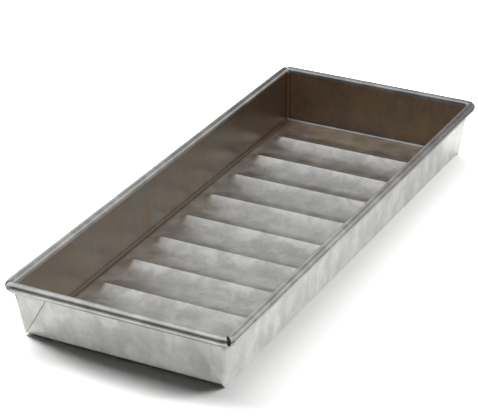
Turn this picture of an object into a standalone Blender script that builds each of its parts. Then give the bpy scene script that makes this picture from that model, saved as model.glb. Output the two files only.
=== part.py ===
"""Hot dog bun pan: one folded and pressed steel sheet, its rim rolled over a wire ring.

Metres, +Z up, the long sides along X. The origin lies under the middle of the pan, where it stands.
"""
import math

import bmesh
import bpy

# Overall sizes, measured over the outside of the rolled rim
RIM_LENGTH = 0.381
RIM_WIDTH = 0.1524
PAN_HEIGHT = 0.0385

# Sheet and wire
SHEET = 0.0008
WIRE_DIAMETER = 0.0038
CLEARANCE = 0.0003

# Walls: lean from upright, inside radius of the upright corners and of the bend at the floor
END_LEAN = math.radians(10.3)
SIDE_LEAN = math.radians(5.3)
WALL_CORNER_RADIUS = 0.0009
FOOT_RADIUS = 0.0022

# Pressed floor: channels side by side along the pan, with a low ridge between each two
CHANNELS = 10
RIDGE_HEIGHT = 0.0026
CREST_WIDTH = 0.004
CHANNEL_FLAT = 0.0036
RIDGE_TO_FOOT = 0.0085
RIDGE_END_RUN = 0.005
RIDGE_END_RADIUS = 0.005

# Folded ears on the end walls, how far they run into the sheet they join, and the notches between the hems
EAR_START = 0.0022
EAR_CORNER_RADIUS = 0.0012
JOIN_INSET = 0.00005
JOIN_DEPTH = 0.0015
NOTCH_WIDTH_TOP = 0.0012
NOTCH_WIDTH_OUTSIDE = 0.0025

# Mesh steps
CORNER_STEPS = 5
FOOT_STEPS = 3
QUARTER_STEPS = 4
TUCK_STEPS = 2
FLANK_STEPS = 4
FLANK_CROWDING = 1.3
END_STEPS = 5
EAR_CORNER_STEPS = 3
WIRE_STEPS = 3
SMOOTH_ANGLE = math.radians(30)

# Worked out from the sizes above
wire_radius = WIRE_DIAMETER / 2
hem_inside_radius = wire_radius + CLEARANCE
hem_radius = hem_inside_radius + SHEET
hem_x = RIM_LENGTH / 2 - hem_radius
hem_y = RIM_WIDTH / 2 - hem_radius
hem_z = PAN_HEIGHT - hem_radius
hem_corner_radius = WALL_CORNER_RADIUS + hem_radius


def wall_offset(lean, height, depth=0.0):
    """How far outside the wire's centreline a wall's inner face is, or a parallel face outside it."""
    tangent_out = -hem_radius * math.cos(lean)
    tangent_z = hem_z + hem_radius * math.sin(lean)
    return tangent_out - (tangent_z - height) * math.tan(lean) + depth / math.cos(lean)


def end_x(height, depth=0.0):
    """X of the +X end wall's inner face, or of a parallel face outside it."""
    return hem_x + wall_offset(END_LEAN, height, depth)


def side_y(height, depth=0.0):
    """Y of the +Y long wall's inner face, or of a parallel face outside it."""
    return hem_y + wall_offset(SIDE_LEAN, height, depth)


def even_steps(start, stop, count):
    """Values after start, up to and with stop."""
    return [start + (stop - start) * number / count for number in range(1, count + 1)]


def wall_section(lean):
    """Inner face of a wall from floor to tucked hem, as (outside the wire's centreline, height)."""
    foot_z = SHEET + FOOT_RADIUS
    wall_z = foot_z - FOOT_RADIUS * math.sin(lean)
    foot_out = wall_offset(lean, wall_z) - FOOT_RADIUS * math.cos(lean)
    points = [(foot_out, SHEET)]
    for angle in even_steps(-math.pi / 2, -lean, FOOT_STEPS):
        points.append((foot_out + FOOT_RADIUS * math.cos(angle), foot_z + FOOT_RADIUS * math.sin(angle)))

    tuck = math.asin((hem_inside_radius - CLEARANCE) / hem_radius) + lean
    start = math.pi - lean
    angles = [start]
    angles += even_steps(start, math.pi / 2, QUARTER_STEPS)
    angles += even_steps(math.pi / 2, 0.0, QUARTER_STEPS)
    angles += even_steps(0.0, -math.pi / 2, QUARTER_STEPS)
    angles += even_steps(-math.pi / 2, -math.pi / 2 - tuck, TUCK_STEPS)
    for angle in angles:
        points.append((hem_radius * math.cos(angle), hem_z + hem_radius * math.sin(angle)))
    return points


def ring_points(end_point, side_point):
    """One level of the walls: a loop round the pan, with a small round at each of its four corners."""
    end_out, end_z = end_point
    side_out, side_z = side_point
    radius = max(WALL_CORNER_RADIUS, hem_corner_radius + (end_out + side_out) / 2)
    centre_x = hem_x + end_out - radius
    centre_y = hem_y + side_out - radius
    quarter = []
    for number in range(CORNER_STEPS + 1):
        angle = math.pi / 2 * number / CORNER_STEPS
        along_x = math.cos(angle)
        along_y = math.sin(angle)
        z = end_z * along_x ** 2 + side_z * along_y ** 2
        quarter.append((centre_x + radius * along_x, centre_y + radius * along_y, z))
    loop = list(quarter)
    loop += [(-x, y, z) for x, y, z in reversed(quarter)]
    loop += [(-x, -y, z) for x, y, z in quarter]
    loop += [(x, -y, z) for x, y, z in reversed(quarter)]
    return loop


channel_pitch = 2 * end_x(SHEET) / CHANNELS
flank_reach = (channel_pitch - CHANNEL_FLAT) / 2
ridge_half_length = side_y(SHEET) - RIDGE_TO_FOOT


def ridge_rise(beside, along):
    """Height over a channel's bottom, by distance beside a ridge's middle line and along the ridge."""
    crest = CREST_WIDTH / 2
    if beside <= crest:
        flank = 1.0
    else:
        flank = max(0.0, (flank_reach - beside) / (flank_reach - crest)) ** 2
    rounded = min(beside, RIDGE_END_RADIUS)
    shortening = RIDGE_END_RADIUS - math.sqrt(RIDGE_END_RADIUS ** 2 - rounded ** 2)
    run = (ridge_half_length - shortening - along) / RIDGE_END_RUN
    run = min(1.0, max(0.0, run))
    return RIDGE_HEIGHT * flank * math.sin(math.pi / 2 * run) ** 2


def ridge_columns():
    """(x, distance from the nearest ridge's middle line) of each floor line that runs along the ridges."""
    crest = CREST_WIDTH / 2
    beside = []
    for number in range(FLANK_STEPS + 1):
        beside.append(crest + (flank_reach - crest) * (number / FLANK_STEPS) ** FLANK_CROWDING)
    columns = []
    for number in range(1, CHANNELS):
        middle = (number - CHANNELS / 2) * channel_pitch
        columns += [(middle - distance, distance) for distance in reversed(beside)]
        columns += [(middle + distance, distance) for distance in beside]
    return columns


def ridge_rows():
    """Y of each line of the floor that runs across the ridges, closest together at their ends."""
    inner = ridge_half_length - RIDGE_END_RUN - RIDGE_END_RADIUS
    end_rows = [inner] + even_steps(inner, ridge_half_length, END_STEPS)
    return [-y for y in reversed(end_rows)] + end_rows


def add_ridged_floor(mesh):
    """Grid of the pressed floor; returns the edges round it, all level with the channels' bottoms."""
    lines = []
    for x, beside in ridge_columns():
        lines.append([mesh.verts.new((x, y, SHEET + ridge_rise(beside, abs(y)))) for y in ridge_rows()])
    for left, right in zip(lines, lines[1:]):
        for row in range(len(left) - 1):
            mesh.faces.new((left[row], right[row], right[row + 1], left[row + 1]))
    return [edge for edge in mesh.edges if len(edge.link_faces) == 1]


def add_walls(mesh):
    """Foot bends, walls and rolled hems, level by level; returns the edges of the lowest loop."""
    levels = zip(wall_section(END_LEAN), wall_section(SIDE_LEAN))
    loops = [[mesh.verts.new(point) for point in ring_points(*level)] for level in levels]
    for lower, upper in zip(loops, loops[1:]):
        for number, vertex in enumerate(lower):
            following = (number + 1) % len(lower)
            mesh.faces.new((vertex, upper[number], upper[following], lower[following]))
    foot = loops[0]
    return [mesh.edges.get((foot[number - 1], vertex)) for number, vertex in enumerate(foot)]


def finish_mesh(name, mesh):
    """Object of that name from a bmesh, shaded smooth but for its sharp edges."""
    data = bpy.data.meshes.new(name)
    mesh.to_mesh(data)
    mesh.free()
    data.shade_smooth()
    data.set_sharp_from_angle(angle=SMOOTH_ANGLE)
    made = bpy.data.objects.new(name, data)
    bpy.context.collection.objects.link(made)
    return made


def add_prism(mesh, lower, upper):
    """Closed solid between two outlines with as many points; returns its upright edges in their order."""
    low = [mesh.verts.new(point) for point in lower]
    high = [mesh.verts.new(point) for point in upper]
    faces = [mesh.faces.new(low), mesh.faces.new(high)]
    for number in range(len(low)):
        faces.append(mesh.faces.new((low[number - 1], low[number], high[number], high[number - 1])))
    bmesh.ops.recalc_face_normals(mesh, faces=faces)
    return [mesh.edges.get((below, above)) for below, above in zip(low, high)]


def as_guide(made):
    """A shape that only cuts or joins, and isn't a piece of the pan."""
    made.hide_render = True
    made.display_type = "WIRE"
    return made


def crease_slope():
    """How far an ear's folded edge moves in from the corner for each metre of height.

    Flat, the spare corner of the blank has what is left of a right angle once both walls lean out. It is
    folded in half, and the half lies against the end wall.
    """
    corner_in_end = math.atan(math.tan(SIDE_LEAN) * math.cos(END_LEAN))
    corner_in_side = math.atan(math.tan(END_LEAN) * math.cos(SIDE_LEAN))
    half_spare = (math.pi / 2 - corner_in_end - corner_in_side) / 2
    return math.tan(half_spare - corner_in_end) / math.cos(END_LEAN)


def ear_outline(height):
    """Level cut through the ear at the +X +Y corner: the folded plate and the strip beside it."""
    inner = SHEET + CLEARANCE
    outer = inner + 2 * SHEET
    corner = side_y(height, SHEET - JOIN_INSET)
    strip = side_y(height, JOIN_INSET)
    crease = side_y(0.0, SHEET) - crease_slope() * height
    return [
        (end_x(height, -JOIN_DEPTH), corner, height),
        (end_x(height, outer), corner, height),
        (end_x(height, outer), crease, height),
        (end_x(height, inner), crease, height),
        (end_x(height, inner), strip, height),
        (end_x(height, -JOIN_DEPTH), strip, height),
    ]


def notch_outline(height):
    """Level cut through the notch between the hems at the +X +Y corner, narrow inside and wide outside."""
    middle_x = hem_x - hem_corner_radius
    middle_y = hem_y - hem_corner_radius
    widening = (NOTCH_WIDTH_OUTSIDE - NOTCH_WIDTH_TOP) / hem_radius
    near = WALL_CORNER_RADIUS + SHEET + CLEARANCE
    far = hem_corner_radius + 2 * hem_radius
    outline = []
    for distance, side in ((near, -1), (far, -1), (far, 1), (near, 1)):
        width = NOTCH_WIDTH_TOP + (distance - hem_corner_radius) * widening
        along = distance * math.sqrt(0.5)
        across = side * width / 2 * math.sqrt(0.5)
        outline.append((middle_x + along - across, middle_y + along + across, height))
    return outline


def four_corners(name, outline, low, high, rounded_edge=None):
    """The same solid at all four corners of the pan, mirrored from the one at +X +Y."""
    mesh = bmesh.new()
    for x_sign, y_sign in ((1, 1), (-1, 1), (-1, -1), (1, -1)):
        lower = [(x * x_sign, y * y_sign, z) for x, y, z in outline(low)]
        upper = [(x * x_sign, y * y_sign, z) for x, y, z in outline(high)]
        edges = add_prism(mesh, lower, upper)
        if rounded_edge is not None:
            bmesh.ops.bevel(mesh, geom=[edges[rounded_edge]], offset=EAR_CORNER_RADIUS, offset_type="OFFSET",
                            segments=EAR_CORNER_STEPS, profile=0.5, affect="EDGES")
    return as_guide(finish_mesh(name, mesh))


def add_boolean(made, operand, operation):
    """Joins a shape to a piece, or cuts it out."""
    modifier = made.modifiers.new(operand.name, "BOOLEAN")
    modifier.object = operand
    modifier.operation = operation


def metal(name, colour, roughness):
    """Bare metal of one colour."""
    material = bpy.data.materials.new(name)
    material.use_nodes = True
    shader = material.node_tree.nodes["Principled BSDF"]
    shader.inputs["Base Color"].default_value = (*colour, 1.0)
    shader.inputs["Metallic"].default_value = 1.0
    shader.inputs["Roughness"].default_value = roughness
    return material


def make_pan_body():
    """Floor, walls, ears and rolled hems, all one sheet."""
    mesh = bmesh.new()
    floor_edges = add_ridged_floor(mesh)
    foot_edges = add_walls(mesh)
    bmesh.ops.triangle_fill(mesh, use_beauty=True, edges=floor_edges + foot_edges, normal=(0.0, 0.0, 1.0))
    body = finish_mesh("pan_body", mesh)

    thickness = body.modifiers.new("sheet", "SOLIDIFY")
    thickness.thickness = SHEET
    thickness.offset = -1.0
    thickness.use_even_offset = True
    thickness.use_quality_normals = True

    hem_underside = PAN_HEIGHT - 2 * hem_radius
    ears = four_corners("ears", ear_outline, EAR_START, hem_underside - CLEARANCE, rounded_edge=1)
    notch_start = hem_underside - CLEARANCE / 2
    notches = four_corners("hem_notches", notch_outline, notch_start, PAN_HEIGHT + hem_radius)
    add_boolean(body, ears, "UNION")
    add_boolean(body, notches, "DIFFERENCE")
    body.data.materials.append(metal("aluminised_steel", (0.60, 0.59, 0.57), 0.38))
    return body


def make_rim_wire():
    """Closed ring of wire along the middle of the hem."""
    curve = bpy.data.curves.new("rim_wire", "CURVE")
    curve.dimensions = "3D"
    curve.bevel_depth = wire_radius
    curve.bevel_resolution = WIRE_STEPS
    points = ring_points((0.0, 0.0), (0.0, 0.0))
    spline = curve.splines.new("POLY")
    spline.points.add(len(points) - 1)
    for point, place in zip(spline.points, points):
        point.co = (*place, 1.0)
    spline.use_cyclic_u = True
    spline.use_smooth = True
    wire = bpy.data.objects.new("rim_wire", curve)
    bpy.context.collection.objects.link(wire)
    wire.location = (0.0, 0.0, hem_z)
    curve.materials.append(metal("steel_wire", (0.32, 0.31, 0.30), 0.5))
    return wire


for old in list(bpy.data.objects):
    bpy.data.objects.remove(old, do_unlink=True)

pan = bpy.data.objects.new("hot_dog_bun_pan", None)
bpy.context.collection.objects.link(pan)
for piece in (make_pan_body(), make_rim_wire()):
    piece.parent = pan
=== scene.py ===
import math

import bmesh
import bpy
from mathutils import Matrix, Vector


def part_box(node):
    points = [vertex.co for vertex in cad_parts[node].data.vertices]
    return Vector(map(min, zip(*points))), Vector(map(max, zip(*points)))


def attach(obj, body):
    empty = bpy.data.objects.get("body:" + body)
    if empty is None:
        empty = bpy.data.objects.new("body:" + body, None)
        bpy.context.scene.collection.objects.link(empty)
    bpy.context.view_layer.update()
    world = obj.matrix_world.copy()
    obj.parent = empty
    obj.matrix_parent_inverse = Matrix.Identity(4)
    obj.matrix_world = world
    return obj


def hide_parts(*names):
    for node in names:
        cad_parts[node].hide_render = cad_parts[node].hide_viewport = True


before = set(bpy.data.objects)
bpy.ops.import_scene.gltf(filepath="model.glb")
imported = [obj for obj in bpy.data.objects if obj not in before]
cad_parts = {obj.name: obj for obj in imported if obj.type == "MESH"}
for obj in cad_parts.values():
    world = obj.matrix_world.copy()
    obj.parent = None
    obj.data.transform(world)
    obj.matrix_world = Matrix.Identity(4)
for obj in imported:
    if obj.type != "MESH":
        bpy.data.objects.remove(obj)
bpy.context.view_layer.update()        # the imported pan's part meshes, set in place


# Camera. It looks down the length of the pan from beyond one short end, a little to one side, through a long
# lens, so the pan's edges run nearly parallel in the picture.
camera_place = (-1.0603, -0.5272, 0.6043)
camera_down = math.radians(26.25)
camera_heading = math.radians(-62.87)

bpy.ops.object.camera_add(location=camera_place, rotation=(math.pi / 2 - camera_down, 0.0, camera_heading))
camera = bpy.context.object
camera.data.lens = 152.7
camera.data.sensor_width = 36.0
bpy.context.scene.camera = camera
bpy.context.scene.view_settings.view_transform = "Standard"


# Pan body: one blank of aluminised steel sheet. Its floor is pressed into shallow channels with a low ridge
# between each two. The walls are folded up from it, and their edges rolled outwards into a hem round a wire.
pan_low, pan_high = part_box("pan_body")
sheet = 0.0008
hem_radius = 0.0030
hem_corner_radius = 0.0039
hem_sag = 1.2
hem_points = 48
corner_steps = 9
wall_angle = math.radians(172.5)
tuck_angle = math.radians(225.0)
angle_margin = 0.01
end_lean = math.radians(10.3)
side_lean = math.radians(5.3)
wall_levels = 8
foot_radius = 0.0022
foot_steps = 6
floor_seam = 0.0006
channels = 10
channel_flat = 0.0036
columns_per_channel = 28
ridge_height = 0.0026
ridge_to_foot = 0.0070
ridge_end_run = 0.005
ridge_end_radius = 0.013
smooth_below = math.radians(30)

# Points within these distances count as being at a level, at the same place, on a plane or on the table.
level_reach = 0.0001
weld_reach = 0.00002
plane_reach = 0.00001
table_reach = 0.00003

hem_x = pan_high.x - hem_radius
hem_y = pan_high.y - hem_radius
hem_z = pan_high.z - hem_radius
hem_bottom = hem_z - hem_sag * hem_radius
corner_x = hem_x - hem_corner_radius
corner_y = hem_y - hem_corner_radius
corner_signs = ((1, 1), (-1, 1), (-1, -1), (1, -1))
straight_runs = ((-2 * corner_x, 0, 0), (0, -2 * corner_y, 0), (2 * corner_x, 0, 0), (0, 2 * corner_y, 0))
wall_top_out = hem_radius * math.cos(wall_angle)
wall_top_z = hem_z + hem_radius * math.sin(wall_angle)
mean_lean = (end_lean + side_lean) / 2


def select_only(*things):
    """Leaves just these objects selected, the last one active."""
    bpy.ops.object.select_all(action="DESELECT")
    for thing in things:
        thing.select_set(True)
    bpy.context.view_layer.objects.active = things[-1]


def pick_points(where):
    """In edit mode, selects the points whose place fits, with the edges and faces between them."""
    shape = bmesh.from_edit_mesh(bpy.context.object.data)
    for point in shape.verts:
        point.select_set(where(point.co))
    shape.select_flush_mode()
    bmesh.update_edit_mesh(bpy.context.object.data)


def pick_faces(where):
    """In edit mode, selects the faces whose middle fits."""
    shape = bmesh.from_edit_mesh(bpy.context.object.data)
    bpy.ops.mesh.select_all(action="DESELECT")
    for face in shape.faces:
        face.select_set(where(face.calc_center_median()))
    bmesh.update_edit_mesh(bpy.context.object.data)


def pick_open_edges(where):
    """In edit mode, selects the edges with one face whose middle fits."""
    shape = bmesh.from_edit_mesh(bpy.context.object.data)
    bpy.ops.mesh.select_all(action="DESELECT")
    for edge in shape.edges:
        if edge.is_boundary and where((edge.verts[0].co + edge.verts[1].co) / 2):
            edge.select_set(True)
    shape.select_flush_mode()
    bmesh.update_edit_mesh(bpy.context.object.data)


def face_outwards():
    """In edit mode, turns all faces the same way, outwards."""
    bpy.ops.mesh.select_all(action="SELECT")
    bpy.ops.mesh.normals_make_consistent(inside=False)


def rim_circle(name, points, radius):
    """A circle that stands across the rim at the start of its +X +Y corner, in edit mode."""
    bpy.ops.object.select_all(action="DESELECT")
    bpy.ops.mesh.primitive_circle_add(vertices=points, radius=radius, location=(hem_x, corner_y, hem_z),
                                      rotation=(math.pi / 2, 0.0, 0.0))
    circle = bpy.context.object
    circle.name = name
    bpy.ops.object.transform_apply(location=True, rotation=True, scale=True)
    bpy.ops.object.mode_set(mode="EDIT")
    return circle


def sweep_round_rim():
    """In edit mode, draws the section on the rim once round all four sides and joins its ends."""
    bpy.ops.mesh.select_all(action="SELECT")
    for signs, run in zip(corner_signs, straight_runs):
        centre = (signs[0] * corner_x, signs[1] * corner_y, 0.0)
        bpy.ops.mesh.spin(steps=corner_steps, angle=math.pi / 2, center=centre, axis=(0.0, 0.0, -1.0))
        bpy.ops.mesh.extrude_region_move(TRANSFORM_OT_translate={"value": run})
    bpy.ops.mesh.select_all(action="SELECT")
    bpy.ops.mesh.remove_doubles(threshold=weld_reach)


def in_open_part(place):
    """True between the tucked edge of the hem and the top of the wall."""
    angle = math.atan2(place.z - hem_z, place.x - hem_x) % (2 * math.pi)
    return wall_angle + angle_margin < angle < tuck_angle - angle_margin


def wall_out(lean, height):
    """How far outside the wire's centreline the inner face of a wall is at a height."""
    return wall_top_out - (wall_top_z - height) * math.tan(lean)


def wall_level(share):
    """Half length, half width and height of the wall's inner face, from its top at 0 to the foot bend at 1."""
    low_z = sheet + foot_radius - foot_radius * math.sin(mean_lean)
    z = wall_top_z + (low_z - wall_top_z) * share
    return hem_x + wall_out(end_lean, z), hem_y + wall_out(side_lean, z), z


def foot_level(share):
    """The same for the foot bend, from the wall at 0 to the floor at 1."""
    halves = []
    for half, lean in zip(wall_level(1.0), (end_lean, side_lean)):
        angle = -lean + (lean - math.pi / 2) * share
        halves.append(half + foot_radius * (math.cos(angle) - math.cos(lean)))
    angle = -mean_lean * (1 - share) - math.pi / 2 * share
    return halves[0], halves[1], sheet + foot_radius * (1 + math.sin(angle))


# The hem, open towards the wall. Its lower half hangs a little deeper than a circle.
pan = rim_circle("pan_sheet", hem_points, hem_radius)
bpy.ops.mesh.select_mode(type="VERT")
pick_points(in_open_part)
bpy.ops.mesh.delete(type="VERT")
pick_points(lambda place: place.z < hem_z - plane_reach)
bpy.ops.transform.resize(value=(1, 1, hem_sag), center_override=(0, 0, hem_z))
sweep_round_rim()

# The walls and the bend at the floor are drawn down from the hem's inner edge, loop by loop.
pick_open_edges(lambda place: abs(place.z - wall_top_z) < level_reach)
levels = [wall_level(step / wall_levels) for step in range(wall_levels + 1)]
levels += [foot_level(step / foot_steps) for step in range(1, foot_steps + 1)]
bottom_x, bottom_y, floor_z = levels[-1]
levels.append((bottom_x - floor_seam, bottom_y - floor_seam, floor_z))
for (old_x, old_y, old_z), (new_x, new_y, new_z) in zip(levels, levels[1:]):
    bpy.ops.mesh.extrude_region_move(TRANSFORM_OT_translate={"value": (0, 0, new_z - old_z)})
    bpy.ops.transform.resize(value=(new_x / old_x, new_y / old_y, 1), center_override=(0, 0, 0))
bpy.ops.object.mode_set(mode="OBJECT")

# The pressed floor: a fine grid whose crest lines are pulled up, and whose ridge ends are pressed flat again.
channel_pitch = 2 * (hem_x + wall_out(end_lean, sheet)) / channels
flank_reach = (channel_pitch - channel_flat) / 2
ridge_half_length = hem_y + wall_out(side_lean, sheet) - ridge_to_foot
ridge_lines = [(number - channels / 2) * channel_pitch for number in range(1, channels)]
column_width = channel_pitch / columns_per_channel
grid_columns = (channels - 1) * columns_per_channel
grid_rows = 2 * math.ceil(ridge_half_length / column_width)


def beside_ridge(x):
    """Distance from the middle line of the nearest ridge."""
    return min(abs(x - line) for line in ridge_lines)


def past_ridge_end(place):
    """True beyond the ridges' ends, which are round seen from above."""
    rounded = min(beside_ridge(place.x), ridge_end_radius)
    shortening = ridge_end_radius - math.sqrt(ridge_end_radius ** 2 - rounded ** 2)
    return abs(place.y) > ridge_half_length - shortening


bpy.ops.object.select_all(action="DESELECT")
bpy.ops.mesh.primitive_grid_add(x_subdivisions=grid_columns, y_subdivisions=grid_rows, size=column_width,
                                location=(0.0, 0.0, sheet))
floor_grid = bpy.context.object
bpy.ops.transform.resize(value=(grid_columns, grid_rows, 1))
bpy.ops.object.transform_apply(location=True, rotation=True, scale=True)
bpy.ops.object.mode_set(mode="EDIT")
pick_points(lambda place: beside_ridge(place.x) < column_width / 2)
bpy.ops.transform.translate(value=(0, 0, ridge_height), use_proportional_edit=True,
                            proportional_edit_falloff="SHARP", proportional_size=flank_reach)
pick_points(past_ridge_end)
bpy.ops.transform.resize(value=(1, 1, 0), center_override=(0, 0, sheet), use_proportional_edit=True,
                         proportional_edit_falloff="SMOOTH", proportional_size=ridge_end_run)
bpy.ops.object.mode_set(mode="OBJECT")

select_only(floor_grid, pan)
bpy.ops.object.join()
bpy.ops.object.mode_set(mode="EDIT")
pick_open_edges(lambda place: place.z < sheet + level_reach)
bpy.ops.mesh.fill(use_beauty=True)
face_outwards()

# Each corner of the hem is cut away in a V, narrow at the wall and wider outside, so that the sheet can roll.
notch_top = 0.0012
notch_outside = 0.0025
notch_end_angle = math.radians(127.5)
notch_inner_end = hem_corner_radius + hem_radius * math.cos(notch_end_angle) + weld_reach
notch_widening = (notch_outside - notch_top) / hem_radius
hem_depth = 2.4 * hem_radius


def outside_corner(place, signs):
    """How far a point is beyond a corner's turning centre, along the pan and across it."""
    return (place.x - signs[0] * corner_x) * signs[0], (place.y - signs[1] * corner_y) * signs[1]


def in_hem_corner(place, signs):
    """True on the part of the hem that turns round a corner."""
    out_x, out_y = outside_corner(place, signs)
    outside = math.hypot(out_x, out_y) > notch_inner_end - level_reach
    return min(out_x, out_y) > -plane_reach and outside and place.z > pan_high.z - hem_depth


def in_notch(middle):
    """True for a face of the hem that lies in one of the notches."""
    for signs in corner_signs:
        if in_hem_corner(middle, signs):
            out_x, out_y = outside_corner(middle, signs)
            away = (out_x + out_y) * math.sqrt(0.5)
            beside = (out_y - out_x) * math.sqrt(0.5)
            return abs(beside) < notch_top / 2 + (away - hem_corner_radius) * notch_widening / 2
    return False


for signs in corner_signs:
    for side in (-1, 1):
        along = Vector((signs[0], signs[1], 0)).normalized()
        across = Vector((-signs[0], signs[1], 0)).normalized() * side
        point = Vector((signs[0] * corner_x, signs[1] * corner_y, 0)) + along * hem_corner_radius
        point += across * (notch_top / 2)
        edge = along + across * (notch_widening / 2)
        pick_points(lambda place: in_hem_corner(place, signs))
        bpy.ops.mesh.bisect(plane_co=point, plane_no=(-edge.y, edge.x, 0))
bpy.ops.mesh.select_mode(type="FACE")
pick_faces(in_notch)
bpy.ops.mesh.delete(type="FACE")
bpy.ops.mesh.select_mode(type="VERT")
bpy.ops.object.mode_set(mode="OBJECT")

# The sheet gets its thickness on the outside of the walls and inside the hem, and a flat underside.
thickness = pan.modifiers.new("sheet", "SOLIDIFY")
thickness.thickness = sheet
thickness.offset = -1.0
thickness.use_even_offset = True
bpy.ops.object.modifier_apply(modifier=thickness.name)
bpy.ops.object.mode_set(mode="EDIT")
pick_points(lambda place: place.z < table_reach)
bpy.ops.transform.resize(value=(1, 1, 0), center_override=(0, 0, 0))
bpy.ops.object.mode_set(mode="OBJECT")

# Ears: the spare sheet of each corner, folded in half and laid against the outside of the end wall. The long
# wall's sheet runs on round the corner as the ear's outer layer. One is cut from a block, and copied.
ear_gap = 0.0003
ear_inner = sheet + ear_gap
ear_outer = ear_inner + 2 * sheet
ear_corner_radius = 0.0020
ear_bite = 0.00003
ear_top = Vector((0, 0, hem_bottom - ear_gap))
ear_foot = Vector((0, 0, 0.0007))
fold_radius = 0.0007
strip_thickness = 0.0007
strip_start = -0.0015
block_size = 0.06
block_place = (hem_x - 0.015, hem_y - 0.015, 0.02)
end_out = Vector((math.cos(end_lean), 0, -math.sin(end_lean)))
side_out = Vector((0, math.cos(side_lean), -math.sin(side_lean)))


def end_face(depth):
    """Where the +X end wall's inner face, or a parallel face this deep outside it, meets the table."""
    return Vector((hem_x + wall_out(end_lean, 0.0) + depth / math.cos(end_lean), 0, 0))


def side_face(depth):
    """The same for the +Y long wall."""
    return Vector((0, hem_y + wall_out(side_lean, 0.0) + depth / math.cos(side_lean), 0))


def chisel(point, normal):
    """Cuts everything on the side that the normal points to off the solid being edited, and closes the cut."""
    bpy.ops.mesh.select_all(action="SELECT")
    bpy.ops.mesh.bisect(plane_co=point, plane_no=normal, use_fill=True, clear_outer=True)


def cut_block(*cuts):
    """A block of metal at the +X +Y corner, cut down by planes and left in edit mode."""
    bpy.ops.object.select_all(action="DESELECT")
    bpy.ops.mesh.primitive_cube_add(size=block_size, location=block_place)
    bpy.ops.object.transform_apply(location=True, rotation=True, scale=True)
    bpy.ops.object.mode_set(mode="EDIT")
    for point, normal in cuts:
        chisel(point, normal)
    return bpy.context.object


def round_edge(point_a, normal_a, point_b, normal_b, radius, segments):
    """In edit mode, rounds the edge where two planes of the solid meet."""
    pick_points(lambda place: (abs((place - point_a).dot(normal_a)) < plane_reach
                               and abs((place - point_b).dot(normal_b)) < plane_reach))
    bpy.ops.mesh.bevel(offset=radius, segments=segments, affect="EDGES")


def combine(body, tool, operation):
    """Joins a solid to a body or cuts it out of the body, and removes it."""
    change = body.modifiers.new("ear", "BOOLEAN")
    change.operation = operation
    change.object = tool
    select_only(body)
    bpy.ops.object.modifier_apply(modifier=change.name)
    bpy.data.objects.remove(tool)


# The fold halves the spare sheet of a corner, so its slant follows from how far the two walls lean.
corner_in_end = math.atan(math.tan(side_lean) * math.cos(end_lean))
corner_in_side = math.atan(math.tan(end_lean) * math.cos(side_lean))
half_spare = (math.pi / 2 - corner_in_end - corner_in_side) / 2
fold_slope = math.tan(half_spare - corner_in_end) / math.cos(end_lean)
fold_out = Vector((0, -1, -fold_slope)).normalized()
fold_foot = side_face(sheet)
ear_side = side_face(sheet - ear_bite)

slit = cut_block((end_face(ear_inner), end_out), (ear_side - side_out * strip_thickness, side_out))
bpy.ops.object.mode_set(mode="OBJECT")
ear = cut_block((end_face(strip_start), -end_out), (end_face(ear_outer), end_out), (ear_side, side_out))
round_edge(end_face(ear_outer), end_out, ear_side, side_out, ear_corner_radius, 6)
bpy.ops.object.mode_set(mode="OBJECT")
combine(ear, slit, "DIFFERENCE")
bpy.ops.object.mode_set(mode="EDIT")
chisel(fold_foot, fold_out)
round_edge(end_face(ear_outer), end_out, fold_foot, fold_out, fold_radius, 5)
round_edge(end_face(ear_inner), end_out, fold_foot, fold_out, fold_radius, 5)
chisel(ear_top, (0, 0, 1))
chisel(ear_foot, (0, 0, -1))
bpy.ops.object.mode_set(mode="OBJECT")

ears = []
for signs in corner_signs:
    select_only(ear)
    bpy.ops.object.duplicate()
    bpy.ops.transform.resize(value=(signs[0], signs[1], 1), center_override=(0, 0, 0))
    bpy.ops.object.transform_apply(location=True, rotation=True, scale=True)
    bpy.ops.object.mode_set(mode="EDIT")
    face_outwards()
    bpy.ops.object.mode_set(mode="OBJECT")
    ears.append(bpy.context.object)
bpy.data.objects.remove(ear)
for corner_ear in ears:
    combine(pan, corner_ear, "UNION")
select_only(pan)
bpy.ops.object.shade_smooth_by_angle(angle=smooth_below)
weighted = pan.modifiers.new("even shading", "WEIGHTED_NORMAL")
weighted.keep_sharp = True
bpy.ops.object.modifier_apply(modifier=weighted.name)


# Finish of the sheet: dull, bright-dipped steel, clouded and streaked by use, with a fine grain.
class Shade:
    """A shader socket that can be used in Python sums."""

    def __init__(self, socket):
        self.socket = socket

    def maths(self, operation, first, second):
        tree = self.socket.node.id_data
        node = tree.nodes.new("ShaderNodeMath")
        node.operation = operation
        for slot, value in zip(node.inputs, (first, second)):
            if isinstance(value, Shade):
                tree.links.new(value.socket, slot)
            else:
                slot.default_value = value
        return Shade(node.outputs[0])

    def __add__(self, other):
        return self.maths("ADD", self, other)

    def __sub__(self, other):
        return self.maths("SUBTRACT", self, other)

    def __rsub__(self, other):
        return self.maths("SUBTRACT", other, self)

    def __mul__(self, other):
        return self.maths("MULTIPLY", self, other)

    def __abs__(self):
        return self.maths("ABSOLUTE", self, 0.0)

    def at_least(self, other):
        return self.maths("MAXIMUM", self, other)

    def at_most(self, other):
        return self.maths("MINIMUM", self, other)

    __radd__ = __add__
    __rmul__ = __mul__


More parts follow.
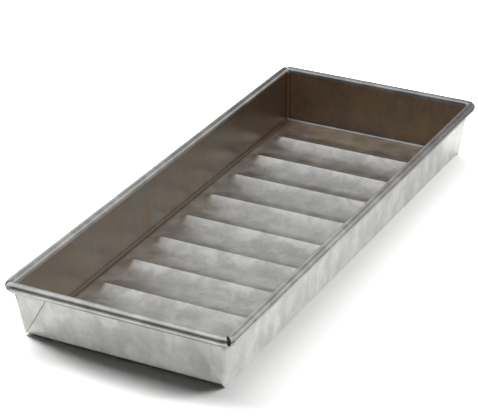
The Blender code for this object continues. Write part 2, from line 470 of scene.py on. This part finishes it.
class Finish:
    """A material whose nodes are added by type, with their settings and their sockets' values or links."""

    def __init__(self, name, tree=None):
        if tree is None:
            self.material = bpy.data.materials.new(name)
            self.material.use_nodes = True
            tree = self.material.node_tree
        self.tree = tree
        self.tree.nodes.clear()

    def add(self, kind, settings, sockets, output=0):
        node = self.tree.nodes.new(kind)
        for name, value in settings.items():
            setattr(node, name, value)
        for name, value in sockets.items():
            if isinstance(value, Shade):
                self.tree.links.new(value.socket, node.inputs[name])
            else:
                node.inputs[name].default_value = value
        return Shade(node.outputs[output]) if node.outputs else None


def between(finish, value, span, low=0.0, high=1.0):
    """A value's range over a span, stretched smoothly from low to high."""
    return finish.add("ShaderNodeMapRange", {"interpolation_type": "SMOOTHSTEP"},
                      {"Value": value, "From Min": span[0], "From Max": span[1], "To Min": low, "To Max": high})


def along_axes(finish, vector):
    """The X, Y and Z parts of a vector."""
    split = finish.add("ShaderNodeSeparateXYZ", {}, {"Vector": vector}).socket.node
    return [Shade(part) for part in split.outputs]


def mixed(finish, share, first, second, blend="MIX"):
    """One colour turning into a second with the share, or being multiplied by it."""
    return finish.add("ShaderNodeMix", {"data_type": "RGBA", "blend_type": blend},
                      {0: share, 6: first, 7: second}, output=2)


def ray(finish, question):
    """What is known of the ray of light that is being followed."""
    return finish.add("ShaderNodeLightPath", {}, {}, output=question)


def noise(finish, vector, scale, detail, **sockets):
    """Soft noise, with so many clouds to the metre."""
    return finish.add("ShaderNodeTexNoise", {}, {"Vector": vector, "Scale": scale, "Detail": detail, **sockets})


dull_steel = (0.44, 0.44, 0.427, 1.0)
bright_steel = (0.77, 0.765, 0.75, 1.0)
cloud_warp = (0.012, 0.012, 0.012)
steel = Finish("aluminised_sheet")
place = steel.add("ShaderNodeTexCoord", {}, {}, output="Object")
across, beside, height = along_axes(steel, place)
warp = steel.add("ShaderNodeTexNoise", {}, {"Vector": place, "Scale": 90.0, "Detail": 2.0}, output=1)
bent = steel.add("ShaderNodeVectorMath", {"operation": "MULTIPLY_ADD"},
                 {0: warp, 1: cloud_warp, 2: place})
cloud_place = steel.add("ShaderNodeMapping", {}, {"Vector": bent, "Scale": (1.0, 1.0, 0.7)})
streak_place = steel.add("ShaderNodeMapping", {}, {"Vector": place, "Scale": (1.0, 1.0, 0.12)})
clouds = noise(steel, cloud_place, 75.0, 4.0, Roughness=0.55)
streaks = noise(steel, streak_place, 330.0, 1.0)
grain = noise(steel, place, 420.0, 1.0)
swell = noise(steel, place, 26.0, 1.0)
stains = between(steel, clouds, (0.35, 0.68))
colour = mixed(steel, stains * 0.55 + streaks * 0.30 + grain * 0.15, dull_steel, bright_steel)

# Inside, above the floor, baking has left a thin brown film, made darker and warmer than the film alone to add
# painted shade and a painted warm reflection on the inner walls. The walls lean out, so their inner faces look
# up and their outer faces look down.
side_film_and_shade = (0.50, 0.39, 0.29, 1.0)
end_film_and_shade = (0.90, 0.62, 0.40, 1.0)
wall_span = (-0.0030, -0.0005)
bend_span = (0.0018, 0.0038)
facing = steel.add("ShaderNodeNewGeometry", {}, {}, output="Normal")
facing_up = along_axes(steel, facing)[2]
inside = between(steel, facing_up, (-0.03, 0.03)) * between(steel, height, (hem_z - 0.001, hem_z), 1.0, 0.0)
end_reach = abs(across) - height * math.tan(end_lean) - end_face(0.0).x
side_reach = abs(beside) - height * math.tan(side_lean) - side_face(0.0).y
on_end = between(steel, end_reach, wall_span)
on_side = between(steel, side_reach, wall_span)
above_bend = between(steel, height, bend_span)
film_and_shade = inside * (0.72 + stains * 0.28)
colour = mixed(steel, film_and_shade * on_side, colour, side_film_and_shade, "MULTIPLY")
colour = mixed(steel, film_and_shade * on_end * above_bend, colour, end_film_and_shade, "MULTIPLY")

# The bend at the foot of the walls is darker still: painted shade in the bend, which dims its highlight.
bend_shade = (0.40, 0.36, 0.33, 1.0)
wall_reach = end_reach.at_least(side_reach)
bend_shade_mask = between(steel, wall_reach, (-0.0035, -0.0020), 0.0, 0.65) * (1 - above_bend)
colour = mixed(steel, bend_shade_mask * inside, colour, bend_shade, "MULTIPLY")

# Outside, the wall is darker under the hem, most of all along the sides: grime together with painted shade
# under the hem's overhang.
hem_grime_and_shade = (0.30, 0.29, 0.28, 1.0)
below_middle = (hem_z - 0.0022, hem_z - 0.0004)
end_band = (hem_bottom - 0.0028, hem_bottom + 0.0002)
side_band = (hem_bottom - 0.0070, hem_bottom - 0.0015)
outside = between(steel, height, below_middle, 1.0, 0.0) * (1 - inside)
under_hem = between(steel, height, end_band, 0.0, 0.35)
under_side = between(steel, height, side_band, 0.0, 0.55) * on_side
grime_and_shade = outside * under_hem.at_least(under_side) * (0.7 + streaks * 0.5)
colour = mixed(steel, grime_and_shade, colour, hem_grime_and_shade, "MULTIPLY")

# The rim is darker towards the far end: a painted reflection.
far_rim_reflection_tone = (0.42, 0.40, 0.39, 1.0)
reflection_run = (-0.06, 0.17)
above_walls = between(steel, height, (hem_bottom, hem_bottom + 0.001))
on_hem = between(steel, wall_reach, (0.0003, 0.0012)) * above_walls
far_rim_reflection = on_hem * between(steel, across, reflection_run, 0.0, 0.9)
colour = mixed(steel, far_rim_reflection * (0.7 + streaks * 0.6), colour, far_rim_reflection_tone, "MULTIPLY")

roughness = 0.28 + stains * 0.05 + grain * 0.05
bump = steel.add("ShaderNodeBump", {}, {"Strength": 0.35, "Distance": 0.0008, "Height": swell})
shader = steel.add("ShaderNodeBsdfPrincipled", {},
                   {"Base Color": colour, "Metallic": 1.0, "Roughness": roughness, "Normal": bump})
steel.add("ShaderNodeOutputMaterial", {}, {"Surface": shader})
pan.data.materials.clear()
pan.data.materials.append(steel.material)
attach(pan, "root")
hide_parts("pan_body")


# Rim wire: a closed ring of drawn steel wire, bent square at the corners. The hem of the pan is rolled tight
# round it, so it shows only in the four notches, where it looks nearly black.
wire_radius = 0.0019
wire_points = 24
# The wire's near-black colour is its own dark tone together with painted shade for the narrow notches it shows
# in.
wire_dark_and_shade = (0.05, 0.048, 0.045, 1.0)
wire_light_and_shade = (0.12, 0.115, 0.11, 1.0)

wire = rim_circle("rim_wire_ring", wire_points, wire_radius)
sweep_round_rim()
face_outwards()
bpy.ops.object.mode_set(mode="OBJECT")
bpy.ops.object.shade_smooth_by_angle(angle=smooth_below)

drawn = Finish("drawn_wire")
place = drawn.add("ShaderNodeTexCoord", {}, {}, output="Object")
dirt = noise(drawn, place, 300.0, 3.0)
colour = mixed(drawn, dirt, wire_dark_and_shade, wire_light_and_shade)
shader = drawn.add("ShaderNodeBsdfPrincipled", {},
                   {"Base Color": colour, "Metallic": 1.0, "Roughness": 0.4 + dirt * 0.2})
drawn.add("ShaderNodeOutputMaterial", {}, {"Surface": shader})
wire.data.materials.append(drawn.material)
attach(wire, "root")
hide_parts("rim_wire")


# Floor: a pale sweep that is white in the picture but for the pan's shadow. The steel mirrors it in a tone of
# its own, a painted reflection that is brighter and glowing near the pan and darker farther off, which doesn't
# light the shadow. It has no lower side, and is cut away under the pan's flat bottom, where it can't be seen
# from above, so that the pan can be looked at from below.
floor_radius = 6.0
paper_white = (2.0, 2.0, 1.985, 1.0)
paper_plain = (0.8, 0.8, 0.8, 1.0)
tone_in_front = (0.85, 0.85, 0.83, 1.0)
tone_far = (0.35, 0.35, 0.35, 1.0)
tone_beside = (1.90, 1.15)
side_shortening = 1.6
near_span = (0.030, 0.065)
glow_beside = 0.30
glow_in_front = 0.49
black = (0.0, 0.0, 0.0, 1.0)
glow_colour = (1.0, 1.0, 0.98, 1.0)

bpy.ops.object.select_all(action="DESELECT")
bpy.ops.mesh.primitive_circle_add(vertices=64, radius=floor_radius, fill_type="NGON")
floor = bpy.context.object
floor.name = "floor"
bpy.ops.object.mode_set(mode="EDIT")
for edge in ((bottom_x, 0, 0), (-bottom_x, 0, 0), (0, bottom_y, 0), (0, -bottom_y, 0)):
    bpy.ops.mesh.select_all(action="SELECT")
    bpy.ops.mesh.bisect(plane_co=edge, plane_no=edge)
pick_points(lambda place: abs(place.x) < bottom_x + level_reach and abs(place.y) < bottom_y + level_reach)
bpy.ops.mesh.delete(type="FACE")
bpy.ops.object.mode_set(mode="OBJECT")

paper = Finish("white_paper")
mirrored = ray(paper, "Is Glossy Ray") * (1 - ray(paper, "Diffuse Depth").at_most(1.0))
spot = paper.add("ShaderNodeTexCoord", {}, {}, output="Object")
across, beside, _ = along_axes(paper, spot)
beyond_end = abs(across) - pan_high.x
beyond_side = (abs(beside) - pan_high.y) * side_shortening
# What the steel mirrors is painted reflection: a brighter, glowing floor near the pan and a darker one farther
# off.
away = between(paper, beyond_end.at_least(beyond_side), near_span)
in_front = between(paper, beyond_end, (-0.012, -0.004))
side_tone = between(paper, across, (pan_low.x, pan_high.x), *tone_beside)
sheen = mixed(paper, away, mixed(paper, in_front, side_tone, tone_in_front), tone_far)
white = mixed(paper, ray(paper, "Is Camera Ray"), mixed(paper, mirrored, paper_plain, sheen), paper_white)
diffuse = paper.add("ShaderNodeBsdfDiffuse", {}, {"Color": white})
glow_level = in_front * (glow_in_front - glow_beside) + glow_beside
shine = mixed(paper, mirrored * (1 - away) * glow_level, black, glow_colour)
glow = paper.add("ShaderNodeEmission", {}, {"Color": shine, "Strength": 1.0})
upper_side = paper.add("ShaderNodeAddShader", {}, {0: diffuse, 1: glow})
lower_side = paper.add("ShaderNodeBsdfTransparent", {}, {})
from_below = paper.add("ShaderNodeNewGeometry", {}, {}, output="Backfacing")
one_sided = paper.add("ShaderNodeMixShader", {}, {0: from_below, 1: upper_side, 2: lower_side})
paper.add("ShaderNodeOutputMaterial", {}, {"Surface": one_sided})
floor.data.materials.append(paper.material)


# Studio: a pale room, bright overhead and dark behind the camera. Two large soft lamps stand above the pan,
# beyond its far end and to the left. Two lower ones, on the left and at the far right, lighten the shadow at
# the corners.
lamps = (
    ("key", (1.1, 0.3, 2.1), (2.6, 1.6), 28.4),
    ("left", (0.3, 1.6, 1.7), (1.2, 1.2), 26.6),
    ("low left", (0.28, 2.0, 0.7), (0.7, 0.7), 22.9),
    ("far right", (1.5, -1.5, 0.8), (1.3, 1.3), 35.4),
)
for name, place, size, energy in lamps:
    bpy.ops.object.light_add(type="AREA", location=place)
    lamp = bpy.context.object
    lamp.name = name
    lamp.rotation_euler = (-lamp.location).to_track_quat("-Z", "Y").to_euler()
    lamp.data.shape = "RECTANGLE"
    lamp.data.size, lamp.data.size_y = size
    lamp.data.energy = energy
    lamp.visible_glossy = False

# The camera sees plain white. The steel mirrors pale walls, lighter to both sides, and a lighter ceiling, with
# a darker gap below it in line with the pan. From under the floor comes a dim glow, for views from below.
world = bpy.data.worlds.new("studio")
bpy.context.scene.world = world
world.use_nodes = True
room = Finish("studio", world.node_tree)
direction = room.add("ShaderNodeTexCoord", {}, {}, output="Generated")
ahead, aside, up = along_axes(room, direction)
behind_camera = between(room, ahead, (-0.80, -0.45), 0.072, 1.0)
gap_height = between(room, up, (0.35, 0.50)) * between(room, up, (0.70, 0.85), 0.6, 0.0)
gap = between(room, abs(aside), (0.12, 0.36), 1.0, 0.0) * gap_height
walls_level = between(room, up, (0.0, 0.2), 0.50, 0.60) * (1 - gap)
right_level = between(room, aside, (-0.42, -0.30), 0.12, 0.0)
left_level = between(room, aside, (0.45, 0.60), 0.0, 0.20)
ceiling_level = between(room, up, (0.72, 0.92), 0.0, 0.45)
under_floor = between(room, up, (-0.10, 0.0), 1.0, 0.0) * between(room, ahead, (-0.5, 0.5), 0.15, 0.5)
level = behind_camera * (walls_level + right_level + left_level + ceiling_level) + under_floor
mirrored = ray(room, "Is Glossy Ray") * (1 - ray(room, "Diffuse Depth").at_most(1.0))
strength = ray(room, "Is Camera Ray") + mirrored * level
background = room.add("ShaderNodeBackground", {}, {"Color": (1.0, 1.0, 1.0, 1.0), "Strength": strength})
room.add("ShaderNodeOutputWorld", {}, {"Surface": background})
